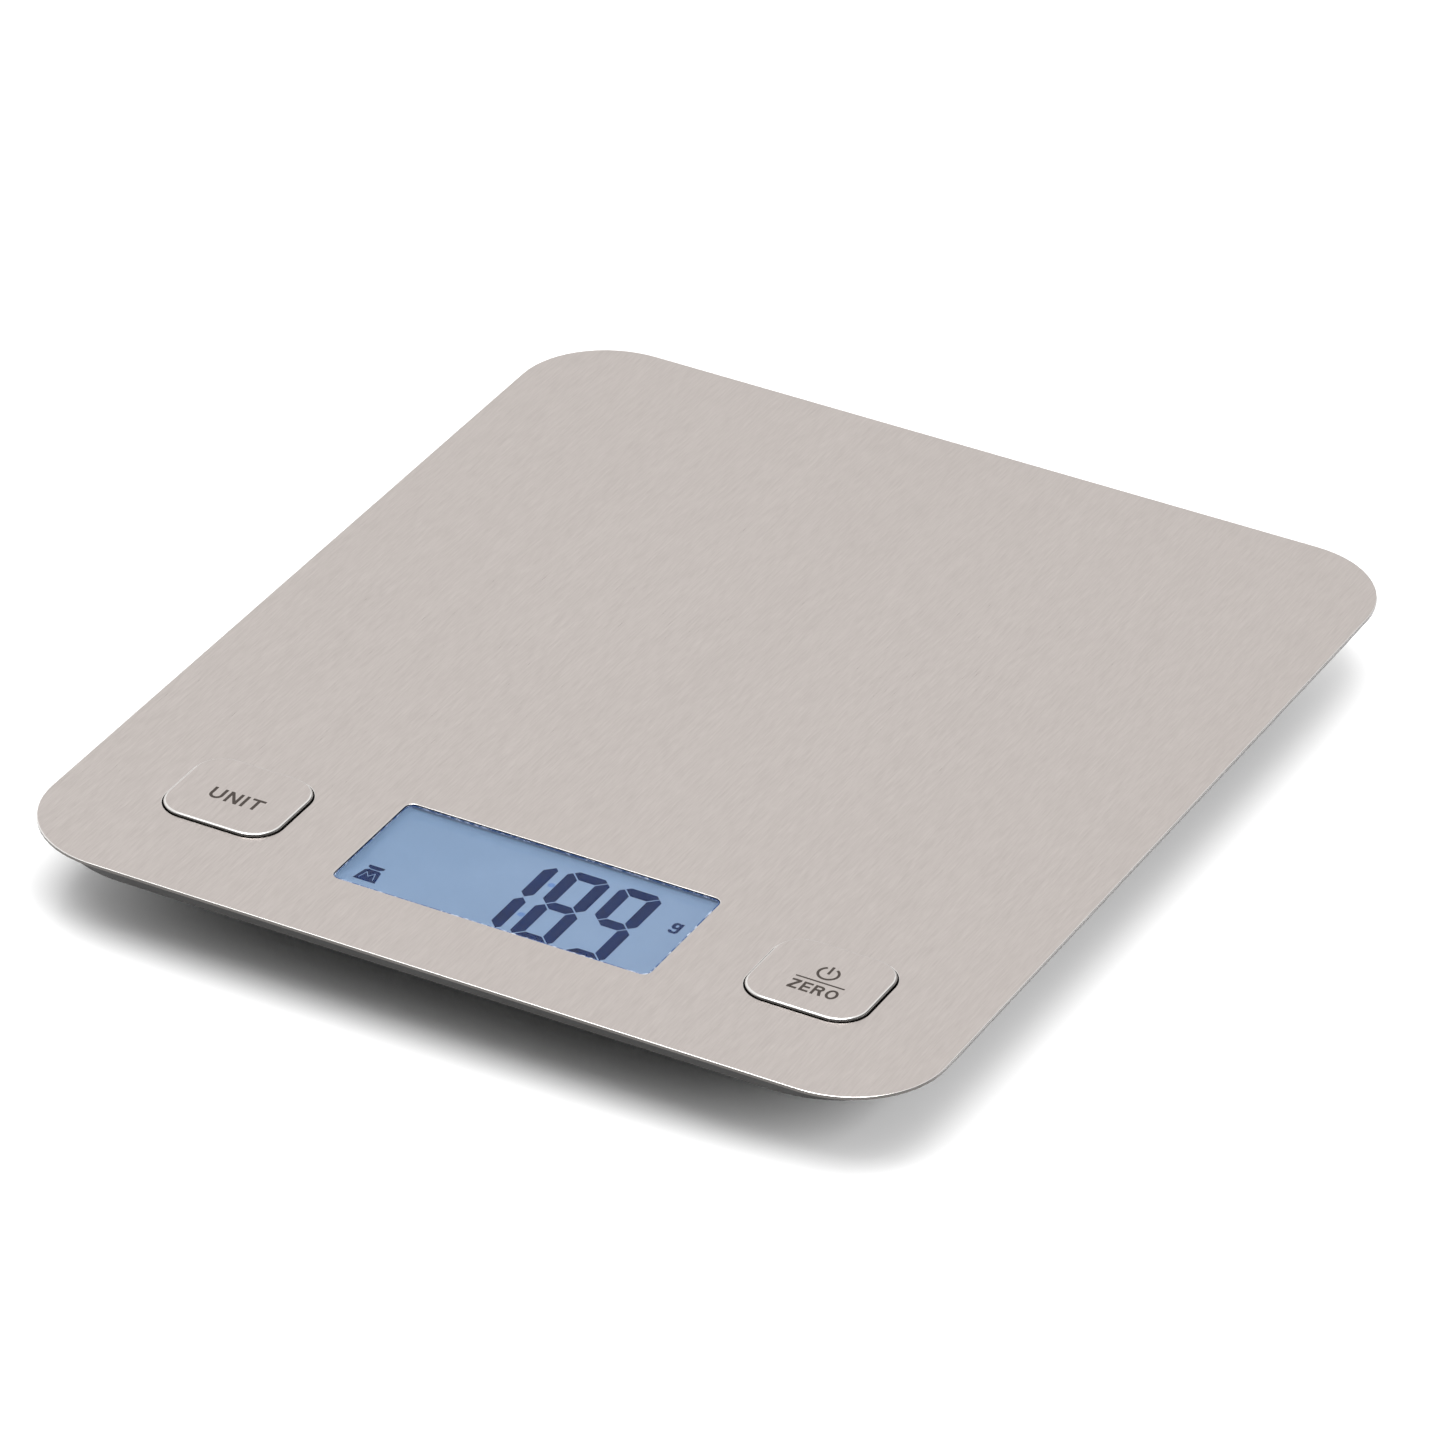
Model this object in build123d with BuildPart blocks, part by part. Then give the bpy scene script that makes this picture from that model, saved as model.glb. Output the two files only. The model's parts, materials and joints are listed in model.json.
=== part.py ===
from build123d import *
import os

os.makedirs("parts", exist_ok=True)

# Digital kitchen scale: a flat steel platform that holds the display and two buttons, on four
# weighing feet. Millimetres. +X is to the user's right, +Y to the back, +Z up. The origin is on
# the table, under the middle of the platform.

# ---------------------------------------------------------------- driving dimensions
plate_width = 160.0
plate_depth = 190.0
plate_corner = 17.0
plate_thickness = 0.5
plate_edge_round = 0.2
opening_edge_round = 0.15
plate_top = 16.5
adhesive_thickness = 0.15
adhesive_inset = 3.0
adhesive_clearance = 0.5

gap = 0.3                      # clearance between pieces that move against each other
running_fit = 0.05             # radial clearance of a shaft or plunger in its hole
overcut = 0.1                  # how far a cutter runs past the wall that it goes through
board_corner = 1.0             # corner radius of circuit boards and their carrier

# upper housing
roof_thickness = 1.35
rim_inset = 0.5
rim_corner = 21.3
skirt_height = 1.95
skirt_inset = 1.3
skirt_corner = 20.5
skirt_width = 4.2
lip_height = 1.3
lip_wall = 1.1
lip_corner = 19.5
lip_side_gap = 1.5
lip_end_gap = 2.3
window_relief = 0.3
rib_thickness = 1.2
rib_depth = 2.0
rib_length = 140.0
cross_rib_y = [-27.0, -10.0, 42.0, 54.0, 70.0]

# lower housing
cover_bottom = 2.0
floor_thickness = 1.4
floor_width = 133.6
floor_depth = 148.8
floor_corner = 22.0
floor_edge_round = 1.0
side_wall = 2.12               # horizontal thickness of the 45 degree side wall
end_wall = 2.85                # horizontal thickness of the flatter front and back walls
wall_root = 0.5                # height above the outer face where inner walls and bosses begin
label_size = (56.0, 26.0)
label_corner = 1.5
label_y = -12.0
label_thickness = 0.1

# display window and buttons
window_width = 56.7
window_depth = 25.4
window_corner = 1.5
window_y = -66.1
button_x = 52.35
button_y = -66.38
button_width = 21.0
button_depth = 18.85
button_corner = 5.1
button_proud = 0.55
button_gap = 0.2
cap_wall = 0.6
cap_skirt = 0.6                # how far the cap's rim reaches below the housing's upper face
cap_edge_round = 0.45
key_flange = 1.1               # how far the key's flange reaches past the cap
key_flange_thickness = 1.0
key_stem_radius = 2.5

# display stack
lens_thickness = 1.35          # flange of the lens, under the platform
lens_border = 1.9
lens_recess = 0.12             # raised pane of the lens below the platform's surface
lens_gap = 0.12
lens_edge_round = 0.15
glass_thickness = 1.1
glass_width = 62.0
glass_front_y = -81.0
glass_rear_y = -51.8
contact_ledge = 2.3
polarizer_thickness = 0.2
polarizer_side_inset = 1.0
polarizer_end_inset = 0.7
guide_thickness = 2.5
carrier_wall = 1.2
led_size = (2.0, 3.0, 1.2)
led_count = 3
led_pitch = 8.0
led_end_gap = 0.2
led_guide_gap = 0.6
zebra_gap = 0.1
zebra_width = 1.6
zebra_length = 56.0

# circuit board
board_thickness = 1.2
board_top = 9.2
board_width = 68.0
board_front_y = -80.8
board_rear_y = -43.0
wing_span = 120.0
wing_depth = 13.5
wing_y = -66.25
board_shoulder = 4.0
board_screw_x = 37.0
board_screw_y = [-71.0, -61.5]
switch_size = 6.0
switch_height = 2.5
switch_corner = 0.3
plunger_radius = 1.75
plunger_height = 0.5
plunger_depth = 0.7
plunger_room = 0.6             # free depth under the plunger
chip_radius = 5.0
chip_height = 1.2
chip_edge_round = 1.0
chip_y = -62.0
chip_part_size = (2.0, 1.25, 0.6)
chip_part_pitch = (4.0, 3.5)
chip_part_count = (3, 4)
chip_part_x = 14.0
crystal_size = (10.5, 4.4, 1.8)
crystal_y = -73.0
connector_size = (7.0, 4.0, 2.6)
sensor_connector_x = 28.25
battery_connector_x = 10.75

# load cells and feet
corner_x = 47.0
corner_y = 54.0
cell_size = 24.0
cell_thickness = 1.0
cell_bottom = 4.6
cell_corner = 3.0
slot_width = 1.2
tongue_width = 10.8
tongue_end = 6.9
slot_end = 6.0
gauge_size = (8.0, 4.4, 1.7)
gauge_offset = 8.8
gauge_corner = 1.0
gauge_edge_round = 0.5
cell_clearance = 0.1
holder_size = 27.0
holder_corner = 4.0
holder_top = 5.7
holder_ledge = 20.4
foot_radius = 8.0
foot_base = 0.6
foot_top = 3.9
foot_edge_round = 0.4
foot_clearance = 0.5
boss_radius = 3.5
pin_radius = 1.4
pin_clearance = 0.2
pin_top = 5.9
pad_radius = 7.0
pad_clearance = 0.1
pad_thickness = 1.0
pad_edge_round = 0.25

# batteries: two AAA cells side by side
battery_radius = 5.25
battery_length = 43.5
battery_edge_round = 0.4
nub_radius = 1.9
nub_length = 1.0
battery_y = [14.5, 25.5]
battery_z = 8.85
bay_half_length = 25.0
bay_front_y = 8.7
bay_rear_y = 31.3
bay_wall = 1.4
bay_top = 14.3
contact_thickness = 0.4
contact_bottom = 4.6
contact_top = 12.6
contact_width = 9.0
contact_corner = 0.8
dimple_radius = 2.4
dimple_height = 0.7
dimple_taper = 20.0
tail_reach = 3.0
tail_width = 3.0
tail_thickness = 0.6
tail_slot_width = 3.6
spring_wire = 0.3
spring_length = 4.0
spring_radius = 3.4
spring_pitch = 1.25
spring_cone = -10.0
spring_sink = 0.1              # depth of the first turn in its plate
door_thickness = 1.3
door_corner = 0.8
tab_x = 15.0
tab_width = 5.0
tab_reach = 2.2
tab_root = 1.2
tab_headroom = 1.4
tab_bottom = 3.5
tab_top = 4.3
latch_width = 10.0
latch_length = 6.0
latch_slot = 0.8
groove_length = 8.0
groove_width = 2.4
groove_depth = 0.6

# screws
screw_xy = [(60.0, 0.0), (-60.0, 0.0), (20.0, -38.0), (-20.0, -38.0), (18.0, 62.0), (-18.0, 62.0)]
screw_head_radius = 2.5
screw_head_height = 1.6
screw_radius = 1.2
screw_tip = 13.0
screw_seat = 4.9
screw_clearance = 0.2
pilot_extra = 0.5
cover_boss_radius = 4.0
boss_joint = 10.0
frame_boss_radius = 3.0
board_screw_head_radius = 1.9
board_screw_head_height = 1.1
board_screw_radius = 1.0
board_boss_radius = 2.4
hole_clearance = 0.05
drive_width = 0.6
drive_depth = 0.7
drive_length = 1.3             # cross recess, in head radii

# wires
wire_radius = 0.6
wire_z = 6.5

# ---------------------------------------------------------------- heights worked out from these
plate_bottom = plate_top - plate_thickness
frame_top = plate_bottom - adhesive_thickness
frame_under = frame_top - roof_thickness
skirt_bottom = frame_top - skirt_height
floor_top = cover_bottom + floor_thickness
cap_top = plate_top + button_proud
flange_top = frame_under - gap
flange_bottom = flange_top - key_flange_thickness
board_bottom = board_top - board_thickness
guide_top = board_top + guide_thickness
glass_bottom = guide_top + polarizer_thickness
glass_top = glass_bottom + 2 * glass_thickness
switch_top = board_top + switch_height
plunger_top = switch_top + plunger_height
cell_top = cell_bottom + cell_thickness
opening_width = button_width + 2 * button_gap
opening_depth = button_depth + 2 * button_gap
opening_corner = button_corner + button_gap
buttons = [("unit", -button_x), ("zero", button_x)]
corners = [
    ("front_left", -1, -1),
    ("front_right", 1, -1),
    ("rear_left", -1, 1),
    ("rear_right", 1, 1),
]


def save(piece, name):
    piece.part.label = name
    export_step(piece.part, "parts/" + name + ".step")


def board_screw_places():
    return [(side * board_screw_x, y) for side in (-1, 1) for y in board_screw_y]


# ---------------------------------------------------------------- steel platform
with BuildPart() as platform_plate:
    with BuildSketch(Plane.XY.offset(plate_bottom)):
        RectangleRounded(plate_width, plate_depth, plate_corner)
    extrude(amount=plate_thickness)
    fillet(platform_plate.faces().sort_by(Axis.Z)[-1].edges(), plate_edge_round)
    with BuildSketch(Plane.XY.offset(plate_bottom)):
        with Locations((0, window_y)):
            RectangleRounded(window_width, window_depth, window_corner)
        with Locations((-button_x, button_y), (button_x, button_y)):
            RectangleRounded(opening_width, opening_depth, opening_corner)
    extrude(amount=plate_thickness, mode=Mode.SUBTRACT)
    fillet(platform_plate.edges(Select.LAST).group_by(Axis.Z)[-1], opening_edge_round)
save(platform_plate, "platform_plate")

with BuildPart() as plate_adhesive:
    with BuildSketch(Plane.XY.offset(frame_top)):
        RectangleRounded(plate_width - 2 * adhesive_inset, plate_depth - 2 * adhesive_inset, plate_corner)
        with Locations((0, window_y)):
            RectangleRounded(
                window_width + 2 * adhesive_clearance,
                window_depth + 2 * adhesive_clearance,
                window_corner,
                mode=Mode.SUBTRACT,
            )
        with Locations((-button_x, button_y), (button_x, button_y)):
            RectangleRounded(
                opening_width + 2 * adhesive_clearance,
                opening_depth + 2 * adhesive_clearance,
                opening_corner,
                mode=Mode.SUBTRACT,
            )
    extrude(amount=adhesive_thickness)
save(plate_adhesive, "plate_adhesive")

# ---------------------------------------------------------------- upper housing
with BuildPart() as top_frame:
    with BuildSketch(Plane.XY.offset(skirt_bottom)):
        RectangleRounded(plate_width - 2 * skirt_inset, plate_depth - 2 * skirt_inset, skirt_corner)
    with BuildSketch(Plane.XY.offset(frame_top)):
        RectangleRounded(plate_width - 2 * rim_inset, plate_depth - 2 * rim_inset, rim_corner)
    loft(ruled=True)
    # hollow under the roof
    with BuildSketch(Plane.XY.offset(skirt_bottom)):
        RectangleRounded(
            plate_width - 2 * (skirt_inset + skirt_width),
            plate_depth - 2 * (skirt_inset + skirt_width),
            skirt_corner - skirt_width,
        )
    extrude(amount=frame_under - skirt_bottom, mode=Mode.SUBTRACT)
    # lip that drops inside the lower housing
    lip_width = plate_width - 2 * (skirt_inset + side_wall + lip_side_gap)
    lip_depth = plate_depth - 2 * (skirt_inset + end_wall + lip_end_gap)
    with BuildSketch(Plane.XY.offset(skirt_bottom - lip_height)):
        RectangleRounded(lip_width, lip_depth, lip_corner)
        RectangleRounded(
            lip_width - 2 * lip_wall,
            lip_depth - 2 * lip_wall,
            lip_corner - lip_wall,
            mode=Mode.SUBTRACT,
        )
    extrude(amount=lip_height + frame_under - skirt_bottom)
    # stiffening ribs across the roof
    with BuildSketch(Plane.XY.offset(frame_under - rib_depth)):
        for rib_y in cross_rib_y:
            with Locations((0, rib_y)):
                Rectangle(rib_length, rib_thickness)
    extrude(amount=rib_depth)
    # bosses for the housing screws and for the board screws
    with BuildSketch(Plane.XY.offset(boss_joint)):
        with Locations(*screw_xy):
            Circle(frame_boss_radius)
    extrude(amount=frame_under - boss_joint)
    with BuildSketch(Plane.XY.offset(board_top)):
        with Locations(*board_screw_places()):
            Circle(board_boss_radius)
    extrude(amount=frame_under - board_top)
    # pilot holes
    with BuildSketch(Plane.XY.offset(boss_joint)):
        with Locations(*screw_xy):
            Circle(screw_radius + hole_clearance)
    extrude(amount=screw_tip + pilot_extra - boss_joint, mode=Mode.SUBTRACT)
    with BuildSketch(Plane.XY.offset(board_top)):
        with Locations(*board_screw_places()):
            Circle(board_screw_radius + hole_clearance)
    extrude(amount=screw_tip + pilot_extra - board_top, mode=Mode.SUBTRACT)
    # window with a seat for the lens, and the two button openings
    with BuildSketch(Plane.XY.offset(frame_under)):
        with Locations((0, window_y)):
            Rectangle(window_width + 2 * window_relief, window_depth + 2 * window_relief)
        with Locations((-button_x, button_y), (button_x, button_y)):
            RectangleRounded(opening_width, opening_depth, opening_corner)
    extrude(amount=roof_thickness, mode=Mode.SUBTRACT)
    with BuildSketch(Plane.XY.offset(frame_top)):
        with Locations((0, window_y)):
            RectangleRounded(
                window_width + 2 * (lens_border + hole_clearance),
                window_depth + 2 * (lens_border + hole_clearance),
                window_corner,
            )
    extrude(amount=-lens_thickness, mode=Mode.SUBTRACT)
save(top_frame, "top_frame")

# ---------------------------------------------------------------- lower housing
with BuildPart() as bottom_cover:
    with BuildSketch(Plane.XY.offset(cover_bottom)):
        RectangleRounded(floor_width, floor_depth, floor_corner)
    with BuildSketch(Plane.XY.offset(skirt_bottom)):
        RectangleRounded(plate_width - 2 * skirt_inset, plate_depth - 2 * skirt_inset, skirt_corner)
    loft(ruled=True)
    fillet(bottom_cover.faces().sort_by(Axis.Z)[0].edges(), floor_edge_round)
    # hollow inside, parallel to the sloping walls
    rise = floor_thickness / (skirt_bottom - cover_bottom)
    inner_width = floor_width + rise * (plate_width - 2 * skirt_inset - floor_width) - 2 * side_wall
    inner_depth = floor_depth + rise * (plate_depth - 2 * skirt_inset - floor_depth) - 2 * end_wall
    with BuildSketch(Plane.XY.offset(floor_top)):
        RectangleRounded(inner_width, inner_depth, floor_corner - side_wall)
    with BuildSketch(Plane.XY.offset(skirt_bottom)):
        RectangleRounded(
            plate_width - 2 * (skirt_inset + side_wall),
            plate_depth - 2 * (skirt_inset + end_wall),
            skirt_corner - side_wall,
        )
    loft(ruled=True, mode=Mode.SUBTRACT)
    # battery bay walls
    bay_y = (bay_front_y + bay_rear_y) / 2
    bay_depth = bay_rear_y - bay_front_y
    with BuildSketch(Plane.XY.offset(cover_bottom + wall_root)):
        with Locations((0, bay_y)):
            Rectangle(2 * (bay_half_length + bay_wall), bay_depth + 2 * bay_wall)
    extrude(amount=bay_top - cover_bottom - wall_root)
    with BuildSketch(Plane.XY.offset(cover_bottom)):
        with Locations((0, bay_y)):
            Rectangle(2 * bay_half_length, bay_depth)
    extrude(amount=bay_top - cover_bottom, mode=Mode.SUBTRACT)
    # slots for the door's tabs in the back wall of the bay
    with BuildSketch(Plane.XY.offset(floor_top)):
        with Locations((-tab_x, bay_rear_y + bay_wall / 2), (tab_x, bay_rear_y + bay_wall / 2)):
            Rectangle(tab_width + 2 * gap, bay_wall + 2 * overcut)
    extrude(amount=tab_top - floor_top + tab_headroom, mode=Mode.SUBTRACT)
    # slots for the contacts' solder tails in the right wall of the bay
    with BuildSketch(Plane.XY.offset(wire_z - wire_radius)):
        with Locations(*[(bay_half_length + bay_wall / 2, y) for y in battery_y]):
            Rectangle(bay_wall + 2 * overcut, tail_slot_width)
    extrude(amount=2 * wire_radius, mode=Mode.SUBTRACT)
    # screw bosses, counterbored from below
    with BuildSketch(Plane.XY.offset(cover_bottom + wall_root)):
        with Locations(*screw_xy):
            Circle(cover_boss_radius)
    extrude(amount=boss_joint - cover_bottom - wall_root)
    with BuildSketch(Plane.XY.offset(cover_bottom)):
        with Locations(*screw_xy):
            Circle(screw_head_radius + gap)
    extrude(amount=screw_seat - cover_bottom, mode=Mode.SUBTRACT)
    with BuildSketch(Plane.XY.offset(cover_bottom)):
        with Locations(*screw_xy):
            Circle(screw_radius + screw_clearance)
    extrude(amount=boss_joint - cover_bottom, mode=Mode.SUBTRACT)
    # openings for the feet
    with BuildSketch(Plane.XY.offset(cover_bottom)):
        with Locations(*[(sx * corner_x, sy * corner_y) for _, sx, sy in corners]):
            Circle(foot_radius + foot_clearance)
    extrude(amount=floor_thickness, mode=Mode.SUBTRACT)
save(bottom_cover, "bottom_cover")

with BuildPart() as rating_label:
    with BuildSketch(Plane.XY.offset(cover_bottom - label_thickness)):
        with Locations((0, label_y)):
            RectangleRounded(label_size[0], label_size[1], label_corner)
    extrude(amount=label_thickness)
save(rating_label, "rating_label")

# ---------------------------------------------------------------- battery door
with BuildPart() as battery_door:
    door_length = 2 * (bay_half_length - gap)
    door_depth = bay_depth - 2 * gap
    door_front = bay_front_y + gap
    door_rear = bay_rear_y - gap
    with BuildSketch(Plane.XY.offset(cover_bottom)):
        with Locations((0, bay_y)):
            RectangleRounded(door_length, door_depth, door_corner)
        # slots that free the latch tongue
        with Locations(
            (-(latch_width + latch_slot) / 2, door_front + latch_length / 2),
            ((latch_width + latch_slot) / 2, door_front + latch_length / 2),
        ):
            Rectangle(latch_slot, latch_length, mode=Mode.SUBTRACT)
    extrude(amount=door_thickness)
    # finger groove across the latch tongue
    with BuildSketch(Plane.XY.offset(cover_bottom)):
        with Locations((0, door_front + latch_length / 2)):
            SlotOverall(groove_length, groove_width)
    extrude(amount=groove_depth, mode=Mode.SUBTRACT)
    # tabs that hook over the edge of the opening
    with BuildSketch(Plane.XY.offset(cover_bottom + door_thickness)):
        with Locations((-tab_x, door_rear - tab_root / 2), (tab_x, door_rear - tab_root / 2)):
            Rectangle(tab_width, tab_root)
    extrude(amount=tab_top - cover_bottom - door_thickness)
    with BuildSketch(Plane.XY.offset(tab_bottom)):
        tab_middle = door_rear + (tab_reach - tab_root) / 2
        with Locations((-tab_x, tab_middle), (tab_x, tab_middle)):
            Rectangle(tab_width, tab_reach + tab_root)
    extrude(amount=tab_top - tab_bottom)
save(battery_door, "battery_door")

# ---------------------------------------------------------------- batteries and contacts
for number, side in ((1, 1), (2, -1)):
    y = battery_y[number - 1]
    # the button end of the first cell is on the right, that of the second on the left
    button_end = side * (bay_half_length - contact_thickness - dimple_height)
    shoulder = button_end - side * nub_length
    with BuildPart() as battery:
        with BuildSketch(Plane((shoulder, y, battery_z), z_dir=(-side, 0, 0))):
            Circle(battery_radius)
        extrude(amount=battery_length)
        fillet(battery.edges().filter_by(GeomType.CIRCLE), battery_edge_round)
        with BuildSketch(Plane((shoulder, y, battery_z), z_dir=(side, 0, 0))):
            Circle(nub_radius)
        extrude(amount=nub_length)
    save(battery, "battery_" + str(number))


def contact_plate(side, y, width):
    """Flat spring-steel plate against an end wall of the bay."""
    with BuildSketch(Plane((side * bay_half_length, y, (contact_bottom + contact_top) / 2),
                           x_dir=(0, 1, 0), z_dir=(-side, 0, 0))) as outline:
        RectangleRounded(width, contact_top - contact_bottom, contact_corner)
    extrude(outline.sketch, amount=contact_thickness)


def contact_dimple(side, y):
    """Raised round that meets the battery's button end."""
    with BuildSketch(Plane((side * (bay_half_length - contact_thickness), y, battery_z),
                           z_dir=(-side, 0, 0))) as outline:
        Circle(dimple_radius)
    extrude(outline.sketch, amount=dimple_height, taper=dimple_taper)


def contact_spring(side, y):
    """Coil spring that pushes on the battery's flat end."""
    coil_start = side * (bay_half_length - contact_thickness + spring_sink)
    with BuildLine() as coil:
        Helix(
            pitch=spring_pitch,
            height=spring_length - spring_wire - spring_sink,
            radius=spring_radius,
            center=(coil_start, y, battery_z),
            direction=(-side, 0, 0),
            cone_angle=spring_cone,
        )
    with BuildSketch(Plane(origin=coil.line @ 0, z_dir=coil.line % 0)) as section:
        Circle(spring_wire)
    sweep(section.sketch, path=coil.line, is_frenet=True)


def contact_tail(side, y):
    """Solder tail that leaves the bay through a slot in its wall."""
    with BuildSketch(Plane((side * (bay_half_length - contact_thickness), y, wire_z),
                           x_dir=(0, 1, 0), z_dir=(side, 0, 0))) as outline:
        Rectangle(tail_width, tail_thickness)
    extrude(outline.sketch, amount=tail_reach + contact_thickness)


with BuildPart() as contact_positive:
    contact_plate(1, battery_y[0], contact_width)
    contact_dimple(1, battery_y[0])
    contact_tail(1, battery_y[0])
save(contact_positive, "contact_positive")

with BuildPart() as contact_negative:
    contact_plate(1, battery_y[1], contact_width)
    contact_spring(1, battery_y[1])
    contact_tail(1, battery_y[1])
save(contact_negative, "contact_negative")

with BuildPart() as contact_bridge:
    contact_plate(-1, sum(battery_y) / 2, battery_y[1] - battery_y[0] + contact_width)
    contact_dimple(-1, battery_y[1])
    contact_spring(-1, battery_y[0])
save(contact_bridge, "contact_bridge")

# ---------------------------------------------------------------- display
with BuildPart() as display_lens:
    with BuildSketch(Plane.XY.offset(frame_top - lens_thickness)):
        with Locations((0, window_y)):
            RectangleRounded(window_width + 2 * lens_border, window_depth + 2 * lens_border, window_corner)
    extrude(amount=lens_thickness)
    # raised pane that fills the platform's window
    with BuildSketch(Plane.XY.offset(frame_top)):
        with Locations((0, window_y)):
            RectangleRounded(
                window_width - 2 * lens_gap,
                window_depth - 2 * lens_gap,
                window_corner - lens_gap,
            )
    extrude(amount=plate_top - lens_recess - frame_top)
    fillet(display_lens.faces().sort_by(Axis.Z)[-1].edges(), lens_edge_round)
save(display_lens, "display_lens")

active_y = (glass_front_y + glass_rear_y) / 2
active_depth = glass_rear_y - glass_front_y
for name, level in (("lcd_front_polarizer", glass_top), ("lcd_rear_polarizer", guide_top)):
    with BuildPart() as polarizer:
        with BuildSketch(Plane.XY.offset(level)):
            with Locations((0, active_y)):
                Rectangle(glass_width - 2 * polarizer_side_inset, active_depth - 2 * polarizer_end_inset)
        extrude(amount=polarizer_thickness)
    save(polarizer, name)

with BuildPart() as lcd_glass:
    with BuildSketch(Plane.XY.offset(glass_bottom)):
        with Locations((0, active_y)):
            Rectangle(glass_width, active_depth)
    extrude(amount=glass_thickness)
    # the upper sheet reaches further back, so its contacts face the zebra strip
    with BuildSketch(Plane.XY.offset(glass_bottom + glass_thickness)):
        with Locations((0, active_y + contact_ledge / 2)):
            Rectangle(glass_width, active_depth + contact_ledge)
    extrude(amount=glass_thickness)
save(lcd_glass, "lcd_glass")

with BuildPart() as backlight_guide:
    led_room = led_size[0] + led_guide_gap
    with BuildSketch(Plane.XY.offset(board_top)):
        with Locations((-led_room / 2, active_y)):
            Rectangle(glass_width - led_room, active_depth)
    extrude(amount=guide_thickness)
save(backlight_guide, "backlight_guide")

with BuildPart() as backlight_leds:
    with BuildSketch(Plane.XY.offset(board_top)):
        with Locations((glass_width / 2 - led_size[0] / 2 - led_end_gap, active_y)):
            with GridLocations(0, led_pitch, 1, led_count):
                Rectangle(led_size[0], led_size[1])
    extrude(amount=led_size[2])
save(backlight_leds, "backlight_leds")

with BuildPart() as zebra_strip:
    with BuildSketch(Plane.XY.offset(board_top)):
        with Locations((0, glass_rear_y + contact_ledge / 2 + zebra_gap)):
            Rectangle(zebra_length, zebra_width)
    extrude(amount=glass_bottom + glass_thickness - board_top)
save(zebra_strip, "zebra_strip")

with BuildPart() as lcd_carrier:
    carrier_y = active_y + contact_ledge / 2
    carrier_depth = active_depth + contact_ledge + 2 * gap
    carrier_width = glass_width + 2 * gap
    with BuildSketch(Plane.XY.offset(board_top)):
        with Locations((0, carrier_y)):
            RectangleRounded(
                carrier_width + 2 * carrier_wall,
                carrier_depth + 2 * carrier_wall,
                board_corner,
            )
            Rectangle(carrier_width, carrier_depth, mode=Mode.SUBTRACT)
    extrude(amount=frame_under - board_top)
save(lcd_carrier, "lcd_carrier")

# ---------------------------------------------------------------- circuit board
with BuildPart() as main_board:
    board_y = (board_front_y + board_rear_y) / 2
    with BuildSketch(Plane.XY.offset(board_bottom)):
        with Locations((0, board_y)):
            RectangleRounded(board_width, board_rear_y - board_front_y, board_corner)
        # two wings that carry the switches, with wider shoulders where they leave the board
        with Locations((0, wing_y)):
            RectangleRounded(wing_span, wing_depth, board_corner)
            RectangleRounded(board_width + 2 * board_shoulder, wing_depth + board_shoulder, board_corner)
        with Locations(*board_screw_places()):
            Circle(board_screw_radius + 2 * hole_clearance, mode=Mode.SUBTRACT)
    extrude(amount=board_thickness)
save(main_board, "main_board")

with BuildPart() as controller_chip:
    with BuildSketch(Plane.XY.offset(board_bottom)):
        with Locations((0, chip_y)):
            Circle(chip_radius)
    extrude(amount=-chip_height)
    fillet(controller_chip.faces().sort_by(Axis.Z)[0].edges(), chip_edge_round)
save(controller_chip, "controller_chip")

with BuildPart() as surface_mount_parts:
    with BuildSketch(Plane.XY.offset(board_bottom)):
        with Locations((-chip_part_x, chip_y), (chip_part_x, chip_y)):
            with GridLocations(*chip_part_pitch, *chip_part_count):
                Rectangle(chip_part_size[0], chip_part_size[1])
    extrude(amount=-chip_part_size[2])
    # clock crystal in its oval can
    with BuildSketch(Plane.XY.offset(board_bottom)):
        with Locations((0, crystal_y)):
            SlotOverall(crystal_size[0], crystal_size[1])
    extrude(amount=-crystal_size[2])
save(surface_mount_parts, "surface_mount_parts")


def connector(x):
    """Wire connector under the rear edge of the board."""
    with BuildSketch(Plane.XY.offset(board_bottom)) as outline:
        with Locations((x, board_rear_y - connector_size[1] / 2)):
            Rectangle(connector_size[0], connector_size[1])
    extrude(outline.sketch, amount=-connector_size[2])


with BuildPart() as sensor_connectors:
    connector(-sensor_connector_x)
    connector(sensor_connector_x)
save(sensor_connectors, "sensor_connectors")

with BuildPart() as battery_connector:
    connector(battery_connector_x)
save(battery_connector, "battery_connector")

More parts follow.
